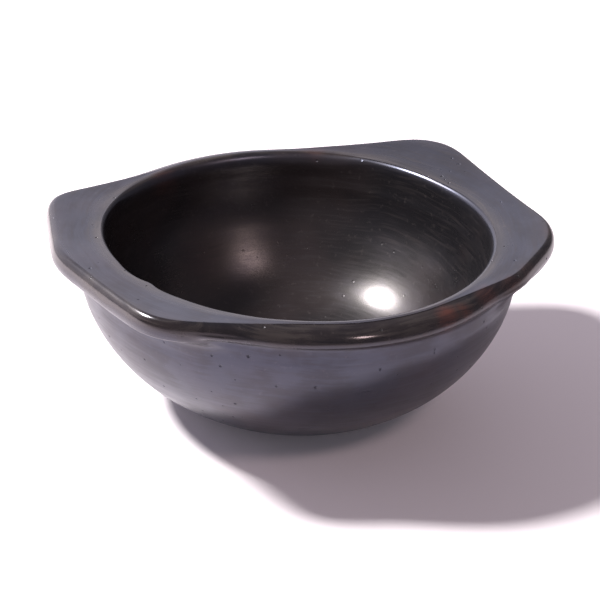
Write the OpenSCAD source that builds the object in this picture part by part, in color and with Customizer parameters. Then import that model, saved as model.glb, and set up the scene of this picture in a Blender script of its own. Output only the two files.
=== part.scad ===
// Hand-built black clay bowl with two flat lugs, standing on a small flat foot.
// The clay members are the ones a potter lutes together: a base pad, three wall
// coils, a lip coil, two lug slabs and a roll of clay smoothed in under each lug.
// Origin: centre of the foot, on the resting plane.  +X runs out along the right lug.

/* [Bowl] */
// Radius of the mouth, to the inner crest of the lip
mouth_r = 75; // [65:1:90]
// Height of the lip above the resting plane
bowl_h = 70; // [62:1:84]
// Wall thickness just under the lip coil
wall_t = 10; // [8:0.5:11]
// Thickness of the floor over the foot
floor_t = 4.5; // [4:0.5:8]
// Radius of the flat foot
foot_r = 33; // [26:1:40]

/* [Lip] */
// How far the lip coil stands out from the mouth
lip_w = 9.8; // [9:0.2:11]
// Radius of the soft inner edge of the lip
lip_in_r = 3.5; // [2.5:0.5:4]

/* [Lugs] */
// How far the end of a lug reaches out from the mouth
lug_reach = 18.7; // [16:0.1:22]
// Plan radius of the broad round corner on each lug's front side
front_corner_r = 33; // [29:1:35]
// Offset of the right lug's front corner centre from the lug's centre line
right_front_y = 26.7; // [23:0.1:30]
// Offset of the left lug's front corner centre from the lug's centre line
left_front_y = 24; // [21:0.1:28]
// Plan radius of the small corner where the left lug's front side begins
left_tip_r = 16.7; // [14:0.1:20]
// Outward place of that small corner's centre, from the mouth's axis
left_tip_x = 69; // [66:0.1:70]
// Offset of that small corner's centre from the lug's centre line
left_tip_y = 43.2; // [38:0.1:44]
// Plan radius of the right lug's back corner
right_back_r = 22.9; // [18:0.1:26]
// Outward place of the right lug's back corner centre, from the mouth's axis
right_back_x = 70; // [67:0.1:71]
// Offset of the right lug's back corner centre from the lug's centre line
right_back_y = 39.2; // [34:0.1:41]
// Plan radius of the left lug's back corner
left_back_r = 17; // [14:0.1:22]
// Outward place of the left lug's back corner centre, from the mouth's axis
left_back_x = 70.1; // [67:0.1:72]
// Offset of the left lug's back corner centre from the lug's centre line
left_back_y = 42.3; // [36:0.1:44]
// Thickness of a lug, also its full round edge
lug_t = 9; // [7:0.5:10]
// Rise of a lug's top for each millimetre outwards
lug_rise = 0.14; // [0.06:0.02:0.16]

/* [Luting] */
// Depth of the clay roll under a lug
roll_w = 7; // [5:0.5:8]
// Slope of the luted joints, as degrees of the wall's curve
scarf = 4; // [2:1:5]

/* [Hidden] */
$fn = 96;

black_clay = [0.13, 0.125, 0.135];

// The wall runs between two elliptical curves.  A place on the wall is an angle t,
// 0 at the widest level and 90 on the axis.
belly_drop = 8;
belly_in = 0.3;
belly_z = bowl_h - belly_drop;
belly_r = mouth_r + lip_w - belly_in;
belly_depth = belly_z / sqrt(1 - pow(foot_r / belly_r, 2));
hollow_r = belly_r - wall_t;
hollow_depth = belly_z - floor_t;
heel_t = 2.4;
heel_from = 24;
heel_span = 28;
foot_t = acos(foot_r / belly_r);
arc_step = 2;

// Joints between the members, from the foot up
base_joint = 58;
lower_joint = 40;
middle_joint = 24;
lip_joint = 10;

// The lip: a soft inner edge, a crest, and a broad shoulder falling to a round band
crest_out = 2;
band_drop = 5.5;
crest_r = mouth_r + crest_out;
band_z = bowl_h - band_drop;
band_r = mouth_r + lip_w;
band_under_r = 3;
tuck_t = 4;
lip_step = 15;
under_step = 20;

// Lug outline: the tight curve round the rim circle and the corner circles.
// Each circle is [x, y, radius], with +X out along the lug.
edge_out = 2.5;
rim_plan_r = crest_r + edge_out;
front_x = mouth_r + lug_reach - front_corner_r;
right_plan = [[0, 0, rim_plan_r], [front_x, -right_front_y, front_corner_r],
              [right_back_x, right_back_y, right_back_r]];
left_plan = [[0, 0, rim_plan_r], [front_x, left_front_y, front_corner_r],
             [left_tip_x, left_tip_y, left_tip_r], [left_back_x, -left_back_y, left_back_r]];
plan_step = 1;
plan_view = 60;

// A lug sinks into the lip coil between these two angles from its centre line
fade_from = 46;
fade_to = 60;
fade_drop = 1.5;
lug_step = 2;
edge_r = lug_t / 2;
edge_step = 30;
root_in = 0.6;
root_sink = 0.5;
top_run = 2.5;

// The roll under a lug starts inside the wall and fades out before the lug does
roll_root = 1.8;
roll_h = 10;
roll_to = 44;
roll_fade = 14;
roll_step = 18;

function outer_at(t) = [belly_r * cos(t), belly_z - belly_depth * sin(t)];
// the upper wall is a little thicker, and thins down to the floor over heel_span degrees
function heel(t) = heel_t * pow(cos(90 * max(0, min(1, (t - heel_from) / heel_span))), 2);
function inner_at(t) = [(hollow_r - heel(t)) * cos(t), belly_z - (hollow_depth - heel(t)) * sin(t)];
function outer_arc(low, high) = [for (t = [low:-arc_step:high]) outer_at(t)];
function inner_arc(high, low) = [for (t = [high:arc_step:low]) inner_at(t)];
function wall_section(low, high) = concat(
    outer_arc(low, high),
    inner_arc(high - scarf, low - scarf));
function about(centre, rx, rz, from, to, step) =
    [for (a = [from:step:to]) centre + [rx * cos(a), rz * sin(a)]];

lip_outside = concat(
    about([crest_r, band_z], band_r - crest_r, band_drop, 90 - lip_step, 0, -lip_step),
    about([band_r - band_under_r, band_z], band_under_r, band_under_r,
        -under_step, -3 * under_step, -under_step),
    [for (t = [tuck_t:arc_step:lip_joint]) outer_at(t)]);
lip_section = concat(
    [for (t = [lip_joint - scarf:-arc_step:0]) inner_at(t)],
    about([crest_r, bowl_h - lip_in_r], lip_in_r, lip_in_r, 180, 90, -lip_step),
    lip_outside);
first_t = floor(foot_t / arc_step) * arc_step;
base_section = concat(
    [[0, 0], [foot_r, 0]],
    outer_arc(first_t, base_joint),
    inner_arc(base_joint - scarf, 90 - arc_step),
    [[0, floor_t]]);

// Everything inside the bowl's outer skin, to trim what is luted on to it
skin_section = concat(
    [[0, 0], [foot_r, 0]],
    outer_arc(first_t, lip_joint + arc_step),
    [for (i = [len(lip_outside) - 1:-1:0]) lip_outside[i]],
    [[crest_r, bowl_h], [0, bowl_h]]);

// Distance from the pot's axis to the lug outline, a degrees from the lug's centre line.
// Every line that touches the outline bounds it, and the nearest one counts.
function touch_at(f, plan) = max([for (c = plan) c.x * cos(f) + c.y * sin(f) + c.z]);
function plan_r(a, plan) =
    min([for (f = [a - plan_view:plan_step:a + plan_view]) touch_at(f, plan) / cos(f - a)]);

function soft(x) = let (u = min(max(x, 0), 1)) u * u * (3 - 2 * u);
function lug_sink(a) = fade_drop * soft((abs(a) - fade_from) / (fade_to - fade_from));
function lug_top(r, a) = bowl_h + lug_rise * (r - crest_r) - lug_sink(a);

// Section of a lug: buried root, flat top, full round edge, flat underside
function lug_section(a, plan) = let (
        mid = plan_r(a, plan) - edge_r,
        root_r = min(crest_r, mid - root_in),
        run_r = min(root_r + top_run, (root_r + mid) / 2))
    concat(
        [[root_r, lug_top(root_r, a) - edge_r],
         [root_r, lug_top(root_r, a) - root_sink],
         [run_r, lug_top(run_r, a)]],
        about([mid, lug_top(mid, a) - edge_r], edge_r, edge_r, 90, -90, -edge_step));

// A closed skin over rings of points, one ring for each angle
module swept(angles, rings) {
    n = len(rings[0]);
    last = len(angles) - 1;
    points = [for (i = [0:last], p = rings[i]) [p.x * cos(angles[i]), p.x * sin(angles[i]), p.y]];
    sides = [for (i = [0:last - 1], j = [0:n - 1])
        [i * n + j, i * n + (j + 1) % n, (i + 1) * n + (j + 1) % n, (i + 1) * n + j]];
    caps = [[for (j = [n - 1:-1:0]) j], [for (j = [0:n - 1]) last * n + j]];
    polyhedron(points, concat(sides, caps), convexity = 6);
}

module lug_blank(plan) {
    angles = [for (a = [-fade_to:lug_step:fade_to]) a];
    swept(angles, [for (a = angles) lug_section(a, plan)]);
}

module bowl_skin() rotate_extrude($fn = 360) polygon(skin_section);

module wall_ring(low, high) rotate_extrude() polygon(wall_section(low, high));

module lug(plan) difference() {
    lug_blank(plan);
    bowl_skin();
}

// The roll fills the corner between the wall and the lug's underside
function roll_r(a) = belly_r - roll_root + (roll_w + roll_root) * soft((roll_to - abs(a)) / roll_fade);
function roll_section(a, plan) = let (
        under = lug_section(a, plan),
        root = under[0],
        edge = under[len(under) - 1],
        along = (roll_r(a) - root.x) / (edge.x - root.x),
        top = root + (edge - root) * along,
        low = [belly_r - roll_root, top.y - roll_h])
    concat([[root.x, low.y], root],
        about([top.x, low.y], top.x - low.x, roll_h, 90, 180 - roll_step, roll_step),
        [low]);

module lug_roll(plan) {
    angles = [for (a = [-roll_to + lug_step:lug_step:roll_to - lug_step]) a];
    difference() {
        swept(angles, [for (a = angles) roll_section(a, plan)]);
        bowl_skin();
    }
}

module base_pad() color(black_clay) rotate_extrude() polygon(base_section);
module lower_wall() color(black_clay) wall_ring(base_joint, lower_joint);
module middle_wall() color(black_clay) wall_ring(lower_joint, middle_joint);
module upper_wall() color(black_clay) wall_ring(middle_joint, lip_joint);
module lip_coil() color(black_clay) rotate_extrude() polygon(lip_section);
module right_lug() color(black_clay) lug(right_plan);
module left_lug() color(black_clay) rotate([0, 0, 180]) lug(left_plan);
module right_lug_roll() color(black_clay) lug_roll(right_plan);
module left_lug_roll() color(black_clay) rotate([0, 0, 180]) lug_roll(left_plan);

base_pad();
lower_wall();
middle_wall();
upper_wall();
lip_coil();
left_lug();
right_lug();
left_lug_roll();
right_lug_roll();
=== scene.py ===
# %% [markdown]
# A hand-built black clay bowl.
#
# The bowl is coil-built clay, rubbed with a smooth stone until it shines and then smoked black
# in the kiln. It has no moving piece: a base pad, three wall coils, a lip coil, two flat lugs
# and a roll of clay under each lug are pressed together while the clay is soft.
# Each of those members is one piece here, so the pieces can be taken apart on screen, and
# their skins meet so exactly that the finished bowl shows no seam, as on the real one.

# %% Load the frame
import math

import bmesh
import bpy
import numpy as np
from mathutils import Matrix, Vector, kdtree, noise


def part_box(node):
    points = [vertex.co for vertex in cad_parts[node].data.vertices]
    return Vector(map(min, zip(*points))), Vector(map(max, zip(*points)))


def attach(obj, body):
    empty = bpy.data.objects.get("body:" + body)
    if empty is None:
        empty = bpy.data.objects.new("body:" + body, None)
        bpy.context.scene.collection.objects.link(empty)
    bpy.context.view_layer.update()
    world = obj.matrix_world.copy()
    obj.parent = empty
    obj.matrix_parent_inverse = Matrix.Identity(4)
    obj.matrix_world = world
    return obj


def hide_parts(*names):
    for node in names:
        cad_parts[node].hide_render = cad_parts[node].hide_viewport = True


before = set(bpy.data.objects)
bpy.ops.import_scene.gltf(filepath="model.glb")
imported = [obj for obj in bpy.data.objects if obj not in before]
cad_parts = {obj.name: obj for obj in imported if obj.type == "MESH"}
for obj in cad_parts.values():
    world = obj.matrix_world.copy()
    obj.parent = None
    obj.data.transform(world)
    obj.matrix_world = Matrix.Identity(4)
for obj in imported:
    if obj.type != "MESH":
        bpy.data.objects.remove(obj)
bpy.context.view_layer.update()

mm = 0.001

# %% [markdown]
# The curve of the wall.
#
# A round-bottomed bowl is close to half an ellipsoid outside. An angle t names a level on the
# wall: 0 at the widest level and 90 on the axis. The hollow is close to an ellipsoid too, but
# the upper wall is a little thicker, because a potter leaves clay there to carry the lip, and
# it thins down towards the floor. The four levels where one coil is luted to the next are the
# same as in the design, and the joint slopes a little, the way a potter bevels a coil so that
# it grips the one below.

# %% Wall curve
lip_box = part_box("lip_coil")
band_r = lip_box[1].x
bowl_h = lip_box[1].z

band_t = 0.3 * mm
belly_r = band_r - band_t
belly_z = bowl_h - 8 * mm
foot_r = 33 * mm
wall_t = 10 * mm
floor_t = 4.5 * mm
belly_depth = belly_z / math.sqrt(1 - (foot_r / belly_r) ** 2)
hollow_r = belly_r - wall_t
hollow_depth = belly_z - floor_t
# extra clay in the upper wall, and the levels over which it thins away, in degrees
heel_t = 2.4 * mm
heel_from = 24
heel_span = 28

# levels of the luting joints, the slope of a joint and the step between section points, in degrees
base_joint = 58
lower_joint = 40
middle_joint = 24
lip_joint = 10
scarf = 4
level_step = 1.0


def outer_at(t):
    """The outside of the wall at a level, as its radius and height."""
    a = math.radians(t)
    return belly_r * math.cos(a), belly_z - belly_depth * math.sin(a)


def heel(t):
    """How much thicker the upper wall is. It thins down towards the floor."""
    return heel_t * math.cos(math.pi / 2 * max(0, min(1, (t - heel_from) / heel_span))) ** 2


def inner_at(t):
    """The inside of the wall at a level."""
    a = math.radians(t)
    return (hollow_r - heel(t)) * math.cos(a), belly_z - (hollow_depth - heel(t)) * math.sin(a)


def levels(start, end):
    """Even levels from one to another, both included."""
    count = max(1, round(abs(end - start) / level_step))
    return [start + (end - start) * i / count for i in range(count + 1)]


print("foot radius %.1f mm, belly radius %.1f mm" % (foot_r / mm, belly_r / mm))

# %% [markdown]
# The plan of the lip and lugs.
#
# Seen from above, the flat of the lip is a circle that swells into a lug on each side. A lug
# has a nearly straight end and round corners, and its sides leave the circle as tangents,
# because the potter draws the slab smoothly into the lip with a wet thumb. A potter measures
# nothing, so the two lugs differ. Each is drawn as the tight curve round a few circles: the rim,
# and three circles for the right lug or four for the left one. A little blurring then rounds
# what the tight curve leaves sharp.

# %% Plan outline
edge_out = 2.5 * mm
crest_r = band_r - 8.2 * mm
crease_r = band_r - 6.7 * mm
# x, y and radius of each lug circle, the right lug's first
corners = [
    (59.2 * mm, -23.0 * mm, 32.4 * mm),
    (53.8 * mm, -53.0 * mm, 12.5 * mm),
    (69.4 * mm, 39.8 * mm, 20.6 * mm),
    (-67.0 * mm, 46.0 * mm, 15.0 * mm),
    (-58.0 * mm, 8.0 * mm, 34.5 * mm),
    (-57.0 * mm, -23.0 * mm, 29.6 * mm),
    (-64.5 * mm, -40.5 * mm, 19.5 * mm),
]
turn_steps = 360
turn = 2 * math.pi / turn_steps
see_steps = 60
blur_steps = 3


def touch_at(angle):
    """How far from the axis lies the line that touches the outline, square to an angle."""
    return max([crease_r] + [x * math.cos(angle) + y * math.sin(angle) + r for x, y, r in corners])


touching = [touch_at(i * turn) for i in range(turn_steps)]
seen = range(-see_steps, see_steps + 1)
tight = [min(touching[(i + k) % turn_steps] / math.cos(k * turn) for k in seen)
         for i in range(turn_steps)]
blurred = range(-blur_steps, blur_steps + 1)
creases = [sum(tight[(i + k) % turn_steps] for k in blurred) / len(blurred)
           for i in range(turn_steps)]


def soft(x):
    """A share from 0 to 1 that starts and ends gently."""
    x = min(max(x, 0.0), 1.0)
    return x * x * (3 - 2 * x)


def blend(a, b, share):
    return a + (b - a) * share


def larger(a, b, rounding):
    """The larger of two lengths, with the change from one to the other rounded off."""
    return (a + b + math.sqrt((a - b) ** 2 + rounding ** 2)) / 2


print("flat top reaches %.1f mm on a lug and %.1f mm between lugs"
      % (creases[0] / mm, creases[turn_steps // 4] / mm))

# %% [markdown]
# The section of the lip.
#
# Going round the bowl, one section changes its shape all the time. Between the lugs it is a
# thick rounded lip with a band below it. At a lug the same clay runs out flat, turns over a
# full round edge and comes back underneath to the wall. Each control point has a place for
# the plain lip and a place for the lug, and one smooth curve is drawn through them.

# %% Lip section
# how steeply the top of each lug rises outwards
rise_right = 0.145
rise_left = 0.11
inner_end = inner_at(lip_joint - scarf)
outer_end = outer_at(lip_joint)
foot_of_roll = outer_at(8)

# millimetres out from the band and down from the lip, and an inset on the slab's underside
lip_inside_plain = [(-12.3, -9.6), (-12.0, -6.0), (-11.6, -3.5), (-10.8, -1.5), (-9.6, -0.35)]
lip_inside_lug = [(-12.1, -9.6), (-11.1, -3.6), (-10.6, -1.4), (-10.0, -0.5), (-9.3, -0.08)]
edge_shares = [0.0, 0.42, 0.76, 0.94, 1.0]
edge_drop_plain = [0.25, 1.1, 2.5, 4.2, 6.0]
edge_drop_lug = [0.22, 0.85, 2.0, 3.6, 5.0]
under_plain = [(-0.5, 7.1), (-0.85, 8.1), (-0.95, 9.4), (-0.95, 11.2), (-0.92, 12.9), (-0.88, 14.9)]
under_edge = [(0.4, 6.7), (1.5, 8.1)]
under_slab = [(0.56, 9.4, 0.3), (0.26, 10.9, 0.6), (0.10, 12.8, 0.85), (0.03, 15.3, 0.95)]
lug_overhang = 9 * mm
edge_rounding = 2.4 * mm
steps_between = [4, 4, 4, 4, 4, 4, 12, 12, 5, 4, 4, 4, 4, 4, 5, 5, 6, 6, 5, 5, 4]


def lip_controls(step):
    """The section's control points at a step of the turn, from the hollow to the belly."""
    crease = creases[step]
    edge = larger(crease + edge_out, belly_r, edge_rounding)
    over = edge - band_r
    lugged = soft(over / lug_overhang)
    rise = rise_right if math.cos(step * turn) > 0 else rise_left
    top = bowl_h + rise * (crease - crease_r)
    points = [inner_end]
    for (r0, z0), (r1, z1) in zip(lip_inside_plain, lip_inside_lug):
        points.append((band_r + blend(r0, r1, lugged) * mm, bowl_h + blend(z0, z1, lugged) * mm))
    points.append((crest_r, bowl_h))
    points.append((blend(crest_r, crease, 0.5), blend(bowl_h, top, 0.45)))
    points.append((blend(crest_r, crease, 0.9), blend(bowl_h, top, 0.88) - 0.02 * mm))
    for share, d0, d1 in zip(edge_shares, edge_drop_plain, edge_drop_lug):
        points.append((blend(crease, edge, share), top - blend(d0, d1, lugged) * mm))
    slab = [(edge - back * mm, top - drop * mm) for back, drop in under_edge]
    slab += [(band_r + out * over - inset * mm, blend(top, bowl_h, i / 3) - drop * mm)
             for i, (out, drop, inset) in enumerate(under_slab)]
    for (r0, z0), (r1, z1) in zip(under_plain, slab):
        points.append((blend(band_r + r0 * mm, r1, lugged), blend(bowl_h - z0 * mm, z1, lugged)))
    return points + [foot_of_roll, outer_end]


def flow(points, steps):
    """A smooth curve through the points, with the given number of steps between neighbours."""
    ends = [points[0]] + points + [points[-1]]
    curve = []
    for i, count in enumerate(steps):
        p0, p1, p2, p3 = ends[i:i + 4]
        for k in range(count):
            u = k / count
            curve.append(tuple(
                0.5 * (2 * b + (c - a) * u + (2 * a - 5 * b + 4 * c - d) * u * u
                       + (3 * b - a - 3 * c + d) * u ** 3)
                for a, b, c, d in zip(p0, p1, p2, p3)))
    return curve + [points[-1]]


sections = [flow(lip_controls(i), steps_between) for i in range(turn_steps)]
section_count = len(sections[0])
print("lip section: %d points at each of %d angles" % (section_count, turn_steps))

# %% [markdown]
# Notes for the finish.
#
# The clay is rubbed in long strokes round the pot, so the finish needs to know how far each
# point lies from the crest of the lip, measured along the surface. The wall below has the same
# lengths all the way round, and a lug adds some, so the two measures change over into each
# other on the round edge. Wear is noted too: hands polish the crest and the outer edge most.

# %% Stroke lengths and wear
def mark(control, share=0.0):
    """The number of the section point that lies a share of the way on from a control point."""
    return sum(steps_between[:control]) + round(share * steps_between[control])


crest_mark = mark(6)
crease_mark = mark(8)
edge_mark = mark(11)
under_mark = mark(16)
crest_wear_steps = 5
edge_wear_steps = 10


def run_lengths(section):
    """The length along a section from its crest to each point, negative on the inside."""
    lengths = [0.0]
    for a, b in zip(section, section[1:]):
        lengths.append(lengths[-1] + math.dist(a, b))
    return [length - lengths[crest_mark] for length in lengths]


plain_lengths = run_lengths(sections[turn_steps // 4])


def stroke_lengths(section):
    """A section's own lengths on the lug's top, eased into the plain section's on either side."""
    own = run_lengths(section)
    below = plain_lengths[-1] - own[-1]
    above = plain_lengths[0] - own[0]
    return [length + below * soft((i - crease_mark) / (under_mark - crease_mark))
            + above * soft((crest_mark - i) / crest_mark) for i, length in enumerate(own)]


strokes = [stroke_lengths(section) for section in sections]


def wear_at(index):
    """How worn a section point is, from 0 to 1."""
    crest = math.exp(-((index - crest_mark) / crest_wear_steps) ** 2)
    edge = math.exp(-((index - edge_mark) / edge_wear_steps) ** 2)
    return max(crest, edge)


print("from crest to lip joint: %.1f mm outside, %.1f mm inside"
      % (plain_lengths[-1] / mm, -plain_lengths[0] / mm))

# %% [markdown]
# Where a lug is luted on.
#
# A lug is not stuck on the finished lip. The potter scores and hollows the lip coil, presses
# the slab into it and smooths the edges away to nothing. So under each lug the coil's skin
# drops to a hidden bed, and at the rim of that bed the bed and the finished skin are one line.

# %% The bed under a lug
lug_from = mark(6, 0.25)
lug_to = mark(15, 0.4)
roll_to = mark(19)
lug_half_steps = 76
plain_section = sections[turn_steps // 4]
coil_heart = (band_r - 4.3 * mm, bowl_h - 8.5 * mm)
bed_depth = 0.16
bed_rim_marks = 4
bed_rim_steps = 3


def from_lug_middle(step):
    """Steps of the turn from the middle of the nearer lug."""
    return abs((step + turn_steps // 4) % (turn_steps // 2) - turn_steps // 4)


def is_covered(step, index):
    return lug_from < index < roll_to and from_lug_middle(step) < lug_half_steps


def bed_point(step, index):
    """The point of the lip coil itself, which is the finished skin wherever no lug covers it."""
    skin = sections[step][index]
    if not is_covered(step, index):
        return skin
    share = min(soft((index - lug_from) / bed_rim_marks), soft((roll_to - index) / bed_rim_marks),
                soft((lug_half_steps - from_lug_middle(step)) / bed_rim_steps))
    plain = plain_section[index]
    deep = [blend(p, h, bed_depth) for p, h in zip(plain, coil_heart)]
    return tuple(blend(s, d, share) for s, d in zip(skin, deep))


print("each lug covers %.0f degrees of the lip" % math.degrees(2 * lug_half_steps * turn))

# %% [markdown]
# Spinning a member.
#
# Every member starts as its section, drawn as a closed loop of points in the XZ plane, and
# Spin turns it about the pot's axis. Each point carries notes that survive the spin: its
# number along the lip section, whether it belongs to the finished skin or is hidden in a
# joint, and its stroke length. They let the lip be reshaped angle by angle afterwards.

# %% Spin helper
NO_MARK = -1


def spin_section(points, first_step=0, steps=turn_steps, closed=True):
    """Spins a list of (r, z, mark, shown, stroke) and returns the bmesh."""
    bm = bmesh.new()
    mark_layer = bm.verts.layers.int.new("mark")
    shown_layer = bm.verts.layers.int.new("shown")
    stroke_layer = bm.verts.layers.float.new("stroke")
    bm.verts.layers.float.new("worn")
    bm.faces.layers.int.new("skin")
    verts = []
    for r, z, number, shown, stroke in points:
        v = bm.verts.new((r, 0, z))
        v[mark_layer] = number
        v[shown_layer] = shown
        v[stroke_layer] = stroke
        verts.append(v)
    pairs = list(zip(verts, verts[1:] + verts[:1])) if closed else list(zip(verts, verts[1:]))
    edges = [bm.edges.new(pair) for pair in pairs]
    start = Matrix.Rotation(first_step * turn, 3, "Z")
    bmesh.ops.rotate(bm, verts=verts, cent=(0, 0, 0), matrix=start)
    bmesh.ops.spin(bm, geom=verts + edges, cent=(0, 0, 0), axis=(0, 0, 1), angle=steps * turn,
                   steps=steps, use_merge=steps == turn_steps, use_duplicate=False)
    return bm


def step_of(co):
    """The step of the turn that a point was spun to."""
    return round(math.atan2(co.y, co.x) / turn) % turn_steps


def place(v, point, step):
    """Puts a vertex at a section point (r, z), at a step of the turn."""
    v.co = (point[0] * math.cos(step * turn), point[0] * math.sin(step * turn), point[1])


def note_skin(bm):
    """Marks the faces of the finished skin, which are those with no hidden corner."""
    shown_layer = bm.verts.layers.int["shown"]
    skin_layer = bm.faces.layers.int["skin"]
    for f in bm.faces:
        f[skin_layer] = min(v[shown_layer] for v in f.verts)


# %% [markdown]
# The hand in the clay.
#
# Nothing pinched from coils is true. The wall wanders by a few tenths of a millimetre, the lip
# rises and falls a little and sags by two or three millimetres on one side, and a few thumb
# squeezes press the edge in or draw it out. One gentle field of movement is applied to every
# member alike, so neighbours that touched still touch. It fades out towards the foot, which is
# pressed flat on a board.

# %% Hand-made wander
# noise scale, size in millimetres and seed
wander = [(11, 0.40, (3.1, 7.7, 1.3)), (34, 0.15, (9.2, 2.4, 5.8)), (70, 0.05, (4.4, 6.1, 8.3))]
# waves round the lip, size in millimetres and phase
lip_sway = [(3, 0.22, 2.6), (5, 0.12, 4.0)]
lip_unrest = (26, 0.35, (1.5, 8.8, 3.3))
low_side = math.radians(108)
low_side_drop = 2.6
low_side_focus = 3.2
# angle in degrees, then radius, height, reach and push in millimetres
squeezes = [(198.6, 75.0, 70, 3.6, -1.0), (189, 75.5, 70, 6, 0.5), (222, 77, 70, 8, 0.5),
            (243, 79, 69, 9, -0.5), (262, 82, 67, 11, 0.4), (38, 97, 71, 10, 0.5),
            (16, 76, 70, 8, -0.3), (60, 77, 70, 9, 0.4)]


def angle_place(degrees, radius, height):
    """A place on the pot, from its angle round the axis, radius and height in millimetres."""
    a = math.radians(degrees)
    return Vector((radius * mm * math.cos(a), radius * mm * math.sin(a), height * mm))


squeezed = [(angle_place(angle, r, z), reach * mm, push * mm)
            for angle, r, z, reach, push in squeezes]
squeezed_from = 0.8 * bowl_h
squeeze_reaches = 3


def by_hand(co):
    """A point of clay, moved the way a hand-built wall strays from its true form."""
    angle = math.atan2(co.y, co.x)
    height = soft(co.z / bowl_h)
    out = Vector((co.x, co.y, 0.0)) / max(math.hypot(co.x, co.y), mm)
    away = sum(size * noise.noise(co * scale + Vector(seed)) for scale, size, seed in wander)
    lift = sum(size * math.sin(n * angle + phase) for n, size, phase in lip_sway)
    scale, size, seed = lip_unrest
    lift += size * noise.noise(co * scale + Vector(seed))
    lift -= low_side_drop * math.exp(low_side_focus * (math.cos(angle - low_side) - 1))
    moved = co + out * away * height * mm + Vector((0, 0, lift * height ** 2 * mm))
    if co.z > squeezed_from:
        for middle, reach, push in squeezed:
            apart = (co - middle).length / reach
            if apart < squeeze_reaches:
                moved += out * push * math.exp(-apart ** 2)
    return moved


def work_by_hand(bm):
    for v in bm.verts:
        v.co = by_hand(v.co)


# %% [markdown]
# The clay bodies.
#
# Five rings make the bowl: the base pad with its flat foot, three wall coils and the lip coil.
# A wall coil's loop runs up the outside, across the upper joint, down the inside and back
# across the lower joint. The base pad's loop starts and ends on the axis, so its spin closes
# over the middle of the foot and of the floor.

# %% Base pad and wall coils
joint_steps = 6


def joint(t, upward=False):
    """The hidden points across the wall at a luted joint, from the outside in."""
    a, b = outer_at(t), inner_at(t - scarf)
    shares = [i / joint_steps for i in range(1, joint_steps)]
    across = [(blend(a[0], b[0], share), blend(a[1], b[1], share), NO_MARK, 0, 0.0)
              for share in shares]
    return across[::-1] if upward else across


def length_down(curve, start, end):
    """The length along the outside or the inside, from one level to another."""
    marks = levels(start, end)
    return sum(math.dist(curve(a), curve(b)) for a, b in zip(marks, marks[1:]))


def outer_stroke(t):
    return plain_lengths[-1] + length_down(outer_at, lip_joint, t)


def inner_stroke(t):
    return plain_lengths[0] - length_down(inner_at, lip_joint - scarf, t)


def outer_skin(values):
    return [(*outer_at(t), NO_MARK, 1, outer_stroke(t)) for t in values]


def inner_skin(values):
    return [(*inner_at(t), NO_MARK, 1, inner_stroke(t)) for t in values]


def wall_ring(low, high):
    return spin_section(outer_skin(levels(low, high)) + joint(high)
                        + inner_skin(levels(high - scarf, low - scarf)) + joint(low, upward=True))


def base_ring():
    foot_t = math.degrees(math.acos(foot_r / belly_r))
    under = outer_stroke(foot_t) + foot_r
    flat = [(foot_r * share, 0.0) for share in (0, 0.25, 0.5, 0.7, 0.85, 0.94)]
    flat += [(foot_r - 0.6 * mm, 0.02 * mm), (foot_r + 0.1 * mm, 0.16 * mm)]
    ground = [(r, z, NO_MARK, 1, under - r) for r, z in flat]
    middle = (0.0, floor_t, NO_MARK, 1, inner_stroke(90))
    section = (ground + outer_skin(levels(foot_t - 1, base_joint)) + joint(base_joint)
               + inner_skin(levels(base_joint - scarf, 90)[:-1]) + [middle])
    return spin_section(section, closed=False)


rings = {
    "base_pad": base_ring(),
    "lower_wall": wall_ring(base_joint, lower_joint),
    "middle_wall": wall_ring(lower_joint, middle_joint),
    "upper_wall": wall_ring(middle_joint, lip_joint),
}
for name, bm in rings.items():
    note_skin(bm)
    print(name, len(bm.faces), "faces")

# %% [markdown]
# The lip coil.
#
# This is the thick coil that stiffens the mouth. Its loop follows the lip section at every
# angle, and where a lug will sit it follows the bed instead.

# %% Lip coil
def note_finish(bm, v, step, index):
    v[bm.verts.layers.float["stroke"]] = strokes[step][index]
    v[bm.verts.layers.float["worn"]] = wear_at(index)


def lip_ring():
    skin_points = [(*plain_section[i], i, 1, 0.0) for i in range(section_count)]
    bm = spin_section(skin_points + joint(lip_joint))
    mark_layer = bm.verts.layers.int["mark"]
    shown_layer = bm.verts.layers.int["shown"]
    for v in bm.verts:
        index = v[mark_layer]
        if index == NO_MARK:
            continue
        step = step_of(v.co)
        v[shown_layer] = 0 if is_covered(step, index) else 1
        note_finish(bm, v, step, index)
        place(v, bed_point(step, index), step)
    note_skin(bm)
    return bm


rings["lip_coil"] = lip_ring()
print("lip_coil", len(rings["lip_coil"].faces), "faces")

# %% [markdown]
# The lugs and the rolls under them.
#
# A lug is spun through part of a turn only. One side of its loop lies on the bed and the other
# side is the finished skin; at both ends, and along the crest of the lip, the two sides close
# to a feather edge. The roll is the same idea under the lug, where a thumb has pushed an extra
# string of clay into the corner.

# %% Lugs and rolls
def luted_piece(first_index, last_index, middle_step):
    """A piece between the bed and the finished skin, over one lug's share of the turn."""
    outside = [(*plain_section[i], i, 1, 0.0) for i in range(first_index, last_index + 1)]
    bed = [(*plain_section[i], i, 0, 0.0) for i in range(last_index, first_index - 1, -1)]
    bm = spin_section(outside + bed, middle_step - lug_half_steps, 2 * lug_half_steps)
    mark_layer = bm.verts.layers.int["mark"]
    shown_layer = bm.verts.layers.int["shown"]
    for v in bm.verts:
        step = step_of(v.co)
        index = v[mark_layer]
        on_skin = v[shown_layer] == 1
        note_finish(bm, v, step, index)
        place(v, sections[step][index] if on_skin else bed_point(step, index), step)
    note_skin(bm)
    return bm


for side, middle in (("right", 0), ("left", turn_steps // 2)):
    rings[side + "_lug"] = luted_piece(lug_from, lug_to, middle)
    rings[side + "_lug_roll"] = luted_piece(lug_to, roll_to, middle)
    print(side + "_lug", len(rings[side + "_lug"].faces), "faces")

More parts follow.
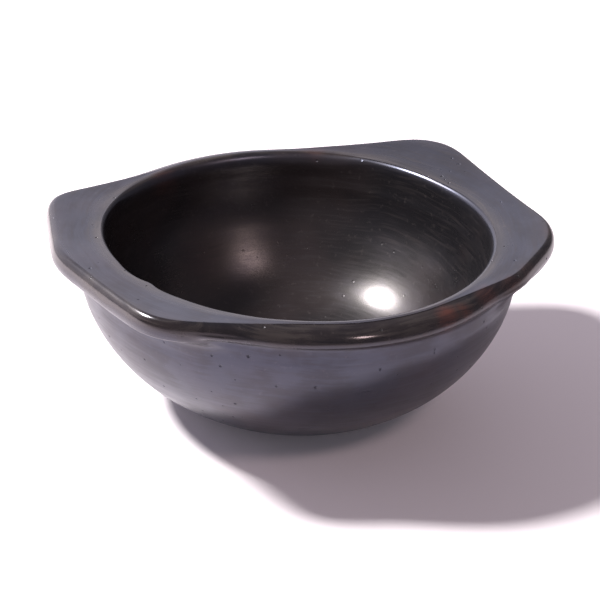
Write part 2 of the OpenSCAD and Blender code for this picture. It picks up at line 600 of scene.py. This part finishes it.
# %% [markdown]
# Closing the meshes.
#
# Merging the points that now share a place closes the poles and the feather edges, and then
# the faces are turned outwards. The hand-made wander comes last, so that every point of every
# member has been through the same movement.

# %% Close and work the clay
merge_gap = 0.002 * mm


def close_up(bm):
    bmesh.ops.remove_doubles(bm, verts=bm.verts, dist=merge_gap)
    bmesh.ops.dissolve_degenerate(bm, edges=bm.edges, dist=merge_gap / 10)
    loose = [v for v in bm.verts if not v.link_faces]
    bmesh.ops.delete(bm, geom=loose, context="VERTS")
    bmesh.ops.recalc_face_normals(bm, faces=bm.faces)
    if bm.calc_volume(signed=True) < 0:
        bmesh.ops.reverse_faces(bm, faces=bm.faces)
    work_by_hand(bm)


for name, bm in rings.items():
    close_up(bm)
    open_edges = sum(1 for e in bm.edges if len(e.link_faces) != 2)
    millilitres = bm.calc_volume() * 1e6
    print(name, len(bm.verts), "points,", open_edges, "open edges, %.1f ml" % millilitres)

# %% [markdown]
# One skin over nine members.
#
# Each member becomes an object of its own. Where two members meet, both would shade their last
# row of faces a little differently and a hairline would show, although a potter rubs the joint
# away. So the shading directions at each meeting line are averaged over both members.

# %% Objects and shared shading
pieces = {}
for name, bm in rings.items():
    mesh = bpy.data.meshes.new(name + "_clay")
    bm.to_mesh(mesh)
    bm.free()
    pieces[name] = bpy.data.objects.new(name + "_clay", mesh)
    bpy.context.scene.collection.objects.link(pieces[name])


def read(items, field, width=1, kind=np.float64):
    values = np.zeros(len(items) * width, kind)
    items.foreach_get(field, values)
    return values.reshape(-1, width) if width > 1 else values


class Skin:
    """A member's mesh as arrays, with the summed directions of its skin faces at each point."""

    def __init__(self, mesh):
        self.mesh = mesh
        self.points = read(mesh.vertices, "co", 3)
        self.corner_point = read(mesh.loops, "vertex_index", kind=np.int32)
        face_size = read(mesh.polygons, "loop_total", kind=np.int32)
        self.corner_face = np.repeat(np.arange(len(mesh.polygons)), face_size)
        face_skin = read(mesh.attributes["skin"].data, "value", kind=np.int32) > 0
        self.corner_skin = face_skin[self.corner_face]
        weighted = read(mesh.polygons, "normal", 3) * read(mesh.polygons, "area")[:, None]
        self.direction = {}
        for shown in (True, False):
            total = np.zeros_like(self.points)
            chosen = self.corner_skin == shown
            np.add.at(total, self.corner_point[chosen], weighted[self.corner_face[chosen]])
            self.direction[shown] = total
        on_skin = np.zeros(len(self.points), bool)
        on_skin[self.corner_point[self.corner_skin]] = True
        hidden = np.zeros(len(self.points), bool)
        hidden[self.corner_point[~self.corner_skin]] = True
        self.border = np.nonzero(on_skin & hidden)[0]

    def apply(self):
        chosen = np.where(self.corner_skin[:, None], self.direction[True][self.corner_point],
                          self.direction[False][self.corner_point])
        size = np.linalg.norm(chosen, axis=1, keepdims=True)
        self.mesh.shade_smooth()
        self.mesh.normals_split_custom_set((chosen / np.maximum(size, 1e-20)).tolist())


skins = [Skin(piece.data) for piece in pieces.values()]
meetings = [(skin, i) for skin in skins for i in skin.border]
tree = kdtree.KDTree(len(meetings))
for number, (skin, i) in enumerate(meetings):
    tree.insert(skin.points[i], number)
tree.balance()
meeting_gap = 5 * merge_gap
shared = []
for skin, i in meetings:
    near = [meetings[number] for _, number, _ in tree.find_range(skin.points[i], meeting_gap)]
    shared.append(sum(other.direction[True][j] for other, j in near))
for (skin, i), direction in zip(meetings, shared):
    skin.direction[True][i] = direction
for skin in skins:
    skin.apply()
print(len(meetings), "points on meeting lines share their shading")

# %% [markdown]
# Node helpers.
#
# The finish is built from a few kinds of shader node, so these short functions keep the
# recipe readable.

# %% Node helpers
def set_or_link(tree, socket, value):
    """Links another node's output to a socket, or sets the socket to a plain value."""
    if isinstance(value, bpy.types.NodeSocket):
        tree.links.new(value, socket)
    else:
        socket.default_value = value


class Recipe:
    """A node tree with one call for each kind of node that the finish needs."""

    def __init__(self, tree):
        self.tree = tree
        tree.nodes.clear()

    def node(self, kind, output=0, inputs=None, **settings):
        made = self.tree.nodes.new(kind)
        for key, value in settings.items():
            setattr(made, key, value)
        for key, value in (inputs or {}).items():
            set_or_link(self.tree, made.inputs[key], value)
        return made if output is None else made.outputs[output]

    def math(self, operation, a, b):
        return self.node("ShaderNodeMath", inputs={0: a, 1: b}, operation=operation)

    def plus(self, a, b):
        return self.math("ADD", a, b)

    def less(self, a, b):
        return self.math("SUBTRACT", a, b)

    def times(self, a, b):
        return self.math("MULTIPLY", a, b)

    def swing(self, pattern, amount):
        """A pattern about 0.5, turned into a swing of a given size about nothing."""
        return self.times(self.less(pattern, 0.5), amount)

    def vector(self, operation, a, b=(0, 0, 0)):
        output = "Value" if operation in ("DISTANCE", "DOT_PRODUCT") else "Vector"
        return self.node("ShaderNodeVectorMath", output, {0: a, 1: b}, operation=operation)

    def scaled(self, vector, factor):
        return self.node("ShaderNodeVectorMath", "Vector", {0: vector, "Scale": factor},
                         operation="SCALE")

    def ramp(self, value, low, high, to_low=0.0, to_high=1.0):
        return self.node("ShaderNodeMapRange", "Result", {
            "Value": value, "From Min": low, "From Max": high, "To Min": to_low, "To Max": to_high},
            interpolation_type="SMOOTHSTEP")

    def noise(self, vector, scale, detail, roughness=0.5, distortion=0.0):
        return self.node("ShaderNodeTexNoise", "Fac", {
            "Vector": vector, "Scale": scale, "Detail": detail, "Roughness": roughness,
            "Distortion": distortion})

    def mix_color(self, share, a, b):
        return self.node("ShaderNodeMix", 2, {0: share, 6: a, 7: b}, data_type="RGBA")

    def mix(self, share, a, b):
        return self.node("ShaderNodeMix", 0, {0: share, 2: a, 3: b}, data_type="FLOAT")

    def bump(self, height, depth, strength, normal=None):
        inputs = {"Height": height, "Distance": depth, "Strength": strength}
        if normal is not None:
            inputs["Normal"] = normal
        return self.node("ShaderNodeBump", "Normal", inputs)


# %% [markdown]
# Burnished, smoked clay.
#
# The colour is a black that carbon has given the clay, a little brown where the smoke was
# thin, and red-brown in a few places that the smoke missed. A smooth stone rubbed over the
# leather-hard clay leaves long shallow strokes, so the shine varies in streaks. Grains that
# the stone dragged out leave small pits, and use leaves fine scratches inside. Colours and
# places come first, so that the recipe below reads in words.

# %% Clay colours and places
smoke_black = (0.0075, 0.0070, 0.0085, 1)
smoke_brown = (0.0165, 0.0120, 0.0125, 1)
stroke_grey = (0.022, 0.0185, 0.019, 1)
dust_grey = (0.055, 0.046, 0.045, 1)
handled_brown = (0.040, 0.033, 0.031, 1)
missed_red = (0.085, 0.030, 0.023, 1)
# the colour of the painted shade inside the pits and chips
pit_shade_black = (0.004, 0.0035, 0.0035, 1)
outer_sheen = (0.71, 0.74, 1.0, 1)
hollow_sheen = (0.60, 0.55, 0.55, 1)
dull_sheen = (0.44, 0.40, 0.47, 1)
worn_sheen = (0.74, 0.67, 0.64, 1)

# a place as angle, radius and height, its reach in millimetres, and how bare the clay is
smoke_missed = [((-73, 82, 67), 9, 1.0), ((-68, 82.5, 66.5), 7, 0.8), ((-59, 86, 69), 8, 0.45),
                ((-50, 89, 70), 9, 0.45), ((-43, 92, 71), 9, 0.35), ((-24, 97, 71), 8, 0.3),
                ((100, 62, 30), 22, 0.16), ((60, 76, 70), 8, 0.25), ((112, 73, 66), 10, 0.3)]
# a place and its reach
chips = [((-87.1, 79.8, 67.6), 1.5), ((112.6, 73.0, 69.3), 1.2), ((205, 99, 68), 0.9),
         ((20, 91, 71.5), 0.8)]
print("smoke missed %d places, and there are %d chips" % (len(smoke_missed), len(chips)))

# %% [markdown]
# Patterns in the clay.
#
# Colour, shine and relief change together on real clay, because one stroke of the stone makes
# all three. So they share their patterns here. Noise that is drawn out round the pot and
# squeezed across the stroke gives the marks of the stone, in three widths, and plain noise
# gives clouds of smoke, mottling, specks and grain.

# %% Clay patterns
class Clay(Recipe):
    """A recipe that starts with the patterns which colour, shine and relief share."""

    def __init__(self, tree):
        super().__init__(tree)
        self.place = self.node("ShaderNodeTexCoord", "Object")
        self.stroke = self.node("ShaderNodeAttribute", "Fac", attribute_name="stroke")
        self.worn = self.node("ShaderNodeAttribute", "Fac", attribute_name="worn")
        self.inside = self.ramp(self.stroke, -0.002, -0.008)

        # round the pot in x and y, along the section in z
        self.around = self.vector("NORMALIZE", self.vector("MULTIPLY", self.place, (1, 1, 0)))
        wavy = self.plus(self.stroke, self.swing(self.noise(self.place, 22, 2), 0.009))
        self.along = self.node("ShaderNodeCombineXYZ", "Vector", {"Z": wavy})
        self.broad = self.streaks(2.2, 210, 2)
        self.narrow = self.streaks(5.0, 900, 3)
        self.hair = self.streaks(9.0, 3400, 2)

        self.mottle = self.noise(self.place, 60, 3, 0.6)
        self.cloud = self.noise(self.place, 20, 3, 0.55, 0.4)
        self.grain = self.noise(self.place, 1100, 2, 0.6)
        self.speck = self.noise(self.place, 420, 2, 0.7)

    def streaks(self, around_scale, along_scale, detail):
        """Noise that makes long narrow bands round the pot."""
        stretched = self.vector("ADD", self.scaled(self.around, around_scale),
                                self.scaled(self.along, along_scale))
        return self.noise(stretched, 1.0, detail)

    def ragged_distance(self, spot, pattern, raggedness):
        """The distance from a place on the pot, made uneven by a pattern."""
        distance = self.vector("DISTANCE", self.place, angle_place(*spot))
        return self.plus(distance, self.swing(pattern, raggedness))


# %% [markdown]
# Marks in the surface.
#
# Some marks cover the colour, change the shine and dent the surface at once: the gaps that the
# smoke left, the pits and chips, and the fine scratches. The pits and chips are painted darker,
# which is painted shade inside the holes; their dents and duller shine are real. Pits sit in a
# few of the cells of a Voronoi pattern, more in some parts than in others, and there are hardly
# any inside, where the potter rubs longest. Scratches lie inside, where spoons go, and on the
# worn edges.

# %% Gaps, pits and scratches
def smoke_gaps(clay):
    missed = None
    for spot, reach, share in smoke_missed:
        ragged = clay.ragged_distance(spot, clay.mottle, 0.014)
        patch = clay.times(clay.ramp(ragged, reach * mm, 0.0), share)
        missed = patch if missed is None else clay.math("MAXIMUM", missed, patch)
    return clay.times(missed, clay.ramp(clay.narrow, 0.25, 0.6, 0.35, 1.0))


def pits_and_chips(clay):
    cells = clay.node("ShaderNodeTexVoronoi", None, {
        "Vector": clay.place, "Scale": 400, "Randomness": 1.0})
    chance = clay.node("ShaderNodeSeparateColor", "Red", {"Color": cells.outputs["Color"]})
    patchy = clay.ramp(clay.noise(clay.place, 32, 1), 0.38, 0.62, 0.97, 0.86)
    sparse = clay.ramp(clay.less(chance, patchy), 0.0, 0.02)
    width = clay.ramp(chance, 0.86, 1.0, 0.10, 0.25)
    ragged = clay.plus(cells.outputs["Distance"], clay.swing(clay.speck, 0.2))
    pit = clay.times(clay.ramp(clay.math("DIVIDE", ragged, width), 1.15, 0.55), sparse)
    pit = clay.times(pit, clay.mix(clay.inside, 1.0, 0.12))
    for spot, reach in chips:
        ragged = clay.ragged_distance(spot, clay.speck, 0.0022)
        pit = clay.math("MAXIMUM", pit, clay.ramp(ragged, reach * mm, 0.5 * reach * mm))
    return pit


def scratches(clay):
    lines = clay.ramp(clay.streaks(6.5, 1900, 1), 0.70, 0.80)
    scratch = clay.times(lines, clay.ramp(clay.mottle, 0.46, 0.62))
    return clay.times(scratch, clay.math("MAXIMUM", clay.inside, clay.worn))


# %% [markdown]
# Colour and shine.
#
# The colour is built in coats, from the smoked body to the pits; the last coat darkens the pits
# and chips, which is painted shade inside the holes. The shine has two parts: how rough the
# surface is, and the tint of what it reflects, bluish where the stone has closed the clay and
# browner inside and on worn edges.

# %% Colour and shine
def clay_colour(clay, missed, pit):
    black = clay.mix_color(clay.ramp(clay.cloud, 0.40, 0.66), smoke_black, smoke_brown)
    stroked = clay.times(clay.ramp(clay.narrow, 0.45, 0.8), 0.7)
    dusty = clay.times(clay.ramp(clay.speck, 0.60, 0.75), 0.30)
    rubbed = clay.times(clay.worn, clay.ramp(clay.plus(clay.narrow, clay.mottle), 0.85, 1.25))
    colour = clay.mix_color(stroked, black, stroke_grey)
    colour = clay.mix_color(dusty, colour, dust_grey)
    colour = clay.mix_color(clay.times(rubbed, 0.75), colour, handled_brown)
    colour = clay.mix_color(missed, colour, missed_red)
    # the last coat is painted shade: it darkens the pits and chips as if shaded inside
    return clay.mix_color(clay.times(pit, 0.8), colour, pit_shade_black)


def roughness(clay, missed, pit, scratch):
    rough = clay.mix(clay.inside, 0.34, 0.29)
    swings = [(clay.broad, clay.mix(clay.inside, 0.16, 0.05)),
              (clay.narrow, clay.mix(clay.inside, 0.16, 0.08)),
              (clay.mottle, 0.12), (clay.cloud, 0.10)]
    for pattern, amount in swings:
        rough = clay.plus(rough, clay.swing(pattern, amount))
    rough = clay.less(rough, clay.times(clay.worn, 0.19))
    for mark_pattern, amount in ((missed, 0.06), (pit, 0.35), (scratch, 0.12)):
        rough = clay.plus(rough, clay.times(mark_pattern, amount))
    return rough


def sheen_colour(clay):
    sheen = clay.mix_color(clay.inside, outer_sheen, hollow_sheen)
    uneven = clay.ramp(clay.plus(clay.times(clay.narrow, 0.6), clay.mottle), 0.70, 0.98)
    sheen = clay.mix_color(clay.times(uneven, 0.5), sheen, dull_sheen)
    return clay.mix_color(clay.times(clay.worn, 0.8), sheen, worn_sheen)


# %% [markdown]
# Relief and the finished clay.
#
# Marks under half a millimetre deep are too fine to model, so bump nodes tilt the shading
# instead, one after the other, from the broad marks of the hand to the finest grain.

# %% Relief and the finished clay
def relief(clay, pit, scratch):
    # pattern, depth in millimetres and strength
    layers = [(clay.cloud, 0.45, 0.6),
              (clay.broad, clay.mix(clay.inside, 0.10, 0.03), 0.8),
              (clay.mottle, 0.05, 0.6),
              (clay.narrow, clay.mix(clay.inside, 0.020, 0.006), 0.8),
              (clay.hair, clay.mix(clay.inside, 0.005, 0.0015), 0.8),
              (clay.grain, 0.008, 0.7),
              (clay.less(1.0, pit), 0.30, 0.9),
              (clay.less(1.0, scratch), 0.01, 0.7)]
    normal = None
    for pattern, depth, strength in layers:
        normal = clay.bump(clay.times(pattern, depth), 1 * mm, strength, normal)
    return normal


def burnished_clay():
    material = bpy.data.materials.new("burnished_clay")
    material.use_nodes = True
    clay = Clay(material.node_tree)
    missed, pit, scratch = smoke_gaps(clay), pits_and_chips(clay), scratches(clay)
    shader = clay.node("ShaderNodeBsdfPrincipled", 0, {
        "Base Color": clay_colour(clay, missed, pit),
        "Roughness": roughness(clay, missed, pit, scratch),
        "IOR": 1.80,
        "Specular Tint": sheen_colour(clay),
        "Normal": relief(clay, pit, scratch)})
    clay.node("ShaderNodeOutputMaterial", None, {"Surface": shader})
    return material


clay_material = burnished_clay()
for name, piece in pieces.items():
    piece.data.materials.append(clay_material)
    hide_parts(name)
    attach(piece, "root")
print("finish has", len(clay_material.node_tree.nodes), "nodes")

# %% [markdown]
# The table and the light.
#
# The bowl stands on a pale sheet that runs away out of sight. The sheet has a very faint glow
# of its own, which lifts the shadow a little. The camera stands in front and looks down into
# the hollow. A small strong lamp stands high behind the bowl on the left and throws the shadow,
# and a wide faint one in front softens it. The pale studio round them fills in. Its far left
# side is the brighter one, so it shines in the flat tops of the lugs, while the ceiling is dim
# and leaves the hollow dark.

# %% Table
table_radius = 4.0
sheet = bmesh.new()
bmesh.ops.create_circle(sheet, cap_ends=True, segments=96, radius=table_radius)
sheet_mesh = bpy.data.meshes.new("table")
sheet.to_mesh(sheet_mesh)
sheet.free()
table = bpy.data.objects.new("table", sheet_mesh)
bpy.context.scene.collection.objects.link(table)
table_material = bpy.data.materials.new("pale_sheet")
table_material.use_nodes = True
table_recipe = Recipe(table_material.node_tree)
fibre = table_recipe.noise(table_recipe.node("ShaderNodeTexCoord", "Object"), 400, 3, 0.6)
table_shader = table_recipe.node("ShaderNodeBsdfPrincipled", 0, {
    "Base Color": (0.90, 0.83, 0.87, 1), "Roughness": 0.75, "Specular IOR Level": 0.2,
    "Emission Color": (0.95, 0.88, 1.0, 1), "Emission Strength": 0.04,
    "Normal": table_recipe.bump(fibre, 0.03 * mm, 0.5)})
table_recipe.node("ShaderNodeOutputMaterial", None, {"Surface": table_shader})
table.data.materials.append(table_material)
print("table is %.0f m across" % (2 * table_radius))

# %% Camera
view_azimuth = math.radians(-25.8)
view_elevation = math.radians(25.5)
view_distance = 975 * mm
view_roll = math.radians(3.0)
aim_below = math.radians(1.6)
back = Vector((math.sin(view_azimuth) * math.cos(view_elevation),
               -math.cos(view_azimuth) * math.cos(view_elevation), math.sin(view_elevation)))
mouth = Vector((0, 0, bowl_h))
camera_data = bpy.data.cameras.new("camera")
camera_data.lens = 153
camera_data.sensor_width = 36
camera_data.shift_x = 0.002
camera = bpy.data.objects.new("camera", camera_data)
bpy.context.scene.collection.objects.link(camera)
tilt = back.to_track_quat("Z", "Y").to_matrix() @ Matrix.Rotation(view_roll, 3, "Z")
tilt = tilt @ Matrix.Rotation(-aim_below, 3, "X")
camera.matrix_world = Matrix.Translation(mouth + back * view_distance) @ tilt.to_4x4()
bpy.context.scene.camera = camera
print("camera is %.0f mm from the middle of the mouth" % (view_distance / mm))

# %% Lamp and studio
def soft_lamp(name, spot, size, energy, color):
    """A round lamp at a spot, turned to face the middle of the bowl."""
    data = bpy.data.lights.new(name, "AREA")
    data.shape = "DISK"
    data.size = size
    data.energy = energy
    data.color = color
    lamp = bpy.data.objects.new(name, data)
    lamp.location = spot
    lamp.rotation_euler = (Vector(spot) - mouth * 0.5).to_track_quat("Z", "Y").to_euler()
    bpy.context.scene.collection.objects.link(lamp)


soft_lamp("high_lamp", (-0.765, 0.507, 1.031), 0.22, 43, (1.0, 0.985, 0.97))
soft_lamp("faint_lamp", (0.38, -1.26, 1.45), 0.40, 6.0, (1.0, 0.80, 0.78))

dim_side = 0.19
bright_side = 1.34
world = bpy.data.worlds.new("studio")
world.use_nodes = True
bpy.context.scene.world = world
studio = Recipe(world.node_tree)
direction = studio.node("ShaderNodeTexCoord", "Generated")
height = studio.node("ShaderNodeSeparateXYZ", "Z", {"Vector": direction})
away = Vector((-back.x, -back.y, 0)).normalized()
across = Vector((away.y, -away.x, 0))
facing = studio.vector("DOT_PRODUCT", direction, tuple(away))
leftward = studio.vector("DOT_PRODUCT", direction, tuple(-across))
far_side = studio.times(studio.ramp(facing, -0.35, 0.45), studio.ramp(height, 0.80, 0.45))
far_side = studio.times(far_side, studio.ramp(leftward, -0.40, 0.15))
strength = studio.mix(far_side, dim_side, bright_side)
background = studio.node("ShaderNodeBackground", 0, {
    "Color": (0.92, 0.88, 1.0, 1), "Strength": strength})
studio.node("ShaderNodeOutputWorld", None, {"Surface": background})
print("studio has", len(world.node_tree.nodes), "nodes")

bpy.context.scene.view_settings.view_transform = "Standard"
bpy.context.scene.view_settings.look = "None"
